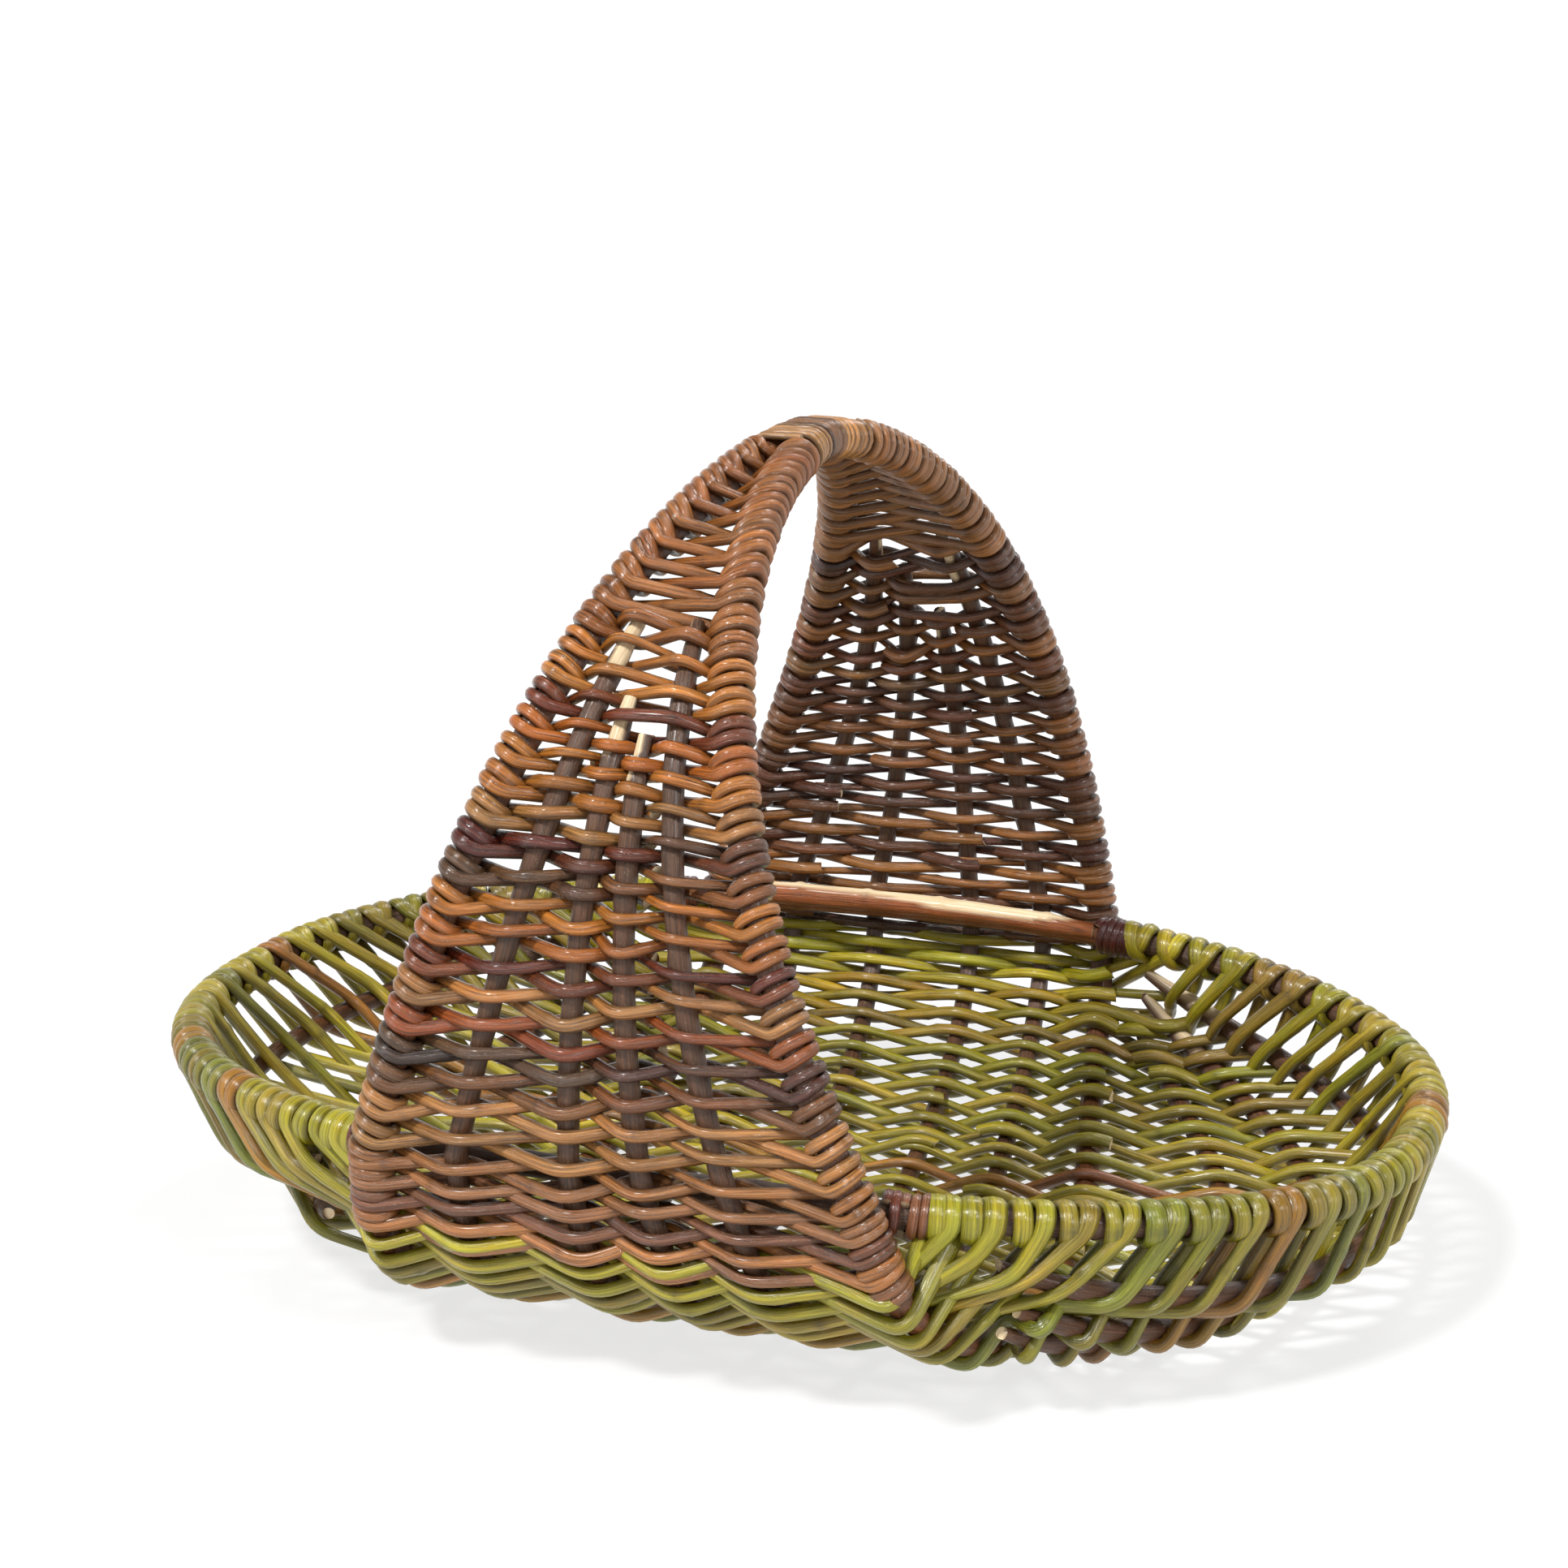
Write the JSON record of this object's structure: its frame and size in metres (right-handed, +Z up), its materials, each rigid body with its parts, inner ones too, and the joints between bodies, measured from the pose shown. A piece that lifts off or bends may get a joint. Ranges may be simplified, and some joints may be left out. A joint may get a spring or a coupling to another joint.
{
  "type": "willow frame basket",
  "caption": "Shallow oval willow frame basket; two hoops spread from the crown into broad woven side panels, forming an arched handle over an open woven tray.",
  "frame": {"origin": "centre of the bounding box on the floor, under the middle of the tray", "axes": "+X along the length of the oval tray, +Y across it towards the far panel, +Z up towards the handle's crown"},
  "size_m": [0.6198, 0.455, 0.3912],
  "materials": {
    "frame_rod": "satin bark",
    "peeled_rim": "bark with a peeled, pale scarf",
    "brown_willow": "glossy brown willow bark",
    "green_willow": "semi-gloss green willow bark",
    "dark_lashing": "dark red-brown willow bark"
  },
  "bodies": {
    "root": {"rim_hoop": "peeled_rim", "handle_hoop_left": "frame_rod", "handle_hoop_right": "frame_rod", "centre_rib_1": "frame_rod", "centre_rib_2": "frame_rod", "centre_rib_3": "frame_rod", "centre_rib_4": "frame_rod", "end_rib_left_1": "frame_rod", "end_rib_left_2": "frame_rod", "end_rib_left_3": "frame_rod", "end_rib_right_1": "frame_rod", "end_rib_right_2": "frame_rod", "end_rib_right_3": "frame_rod", "foot_lashing_near_left": "dark_lashing", "foot_lashing_near_right": "dark_lashing", "foot_lashing_far_left": "dark_lashing", "foot_lashing_far_right": "dark_lashing", "near_panel_weave": "brown_willow", "far_panel_weave": "brown_willow", "near_handle_wrap": "brown_willow", "far_handle_wrap": "brown_willow", "crown_binding": "brown_willow", "rim_wrap_left": "green_willow", "rim_wrap_right": "green_willow", "tray_floor_weave": "green_willow", "tray_end_weave_left": "green_willow", "tray_end_weave_right": "green_willow"}
  },
  "joints": []
}
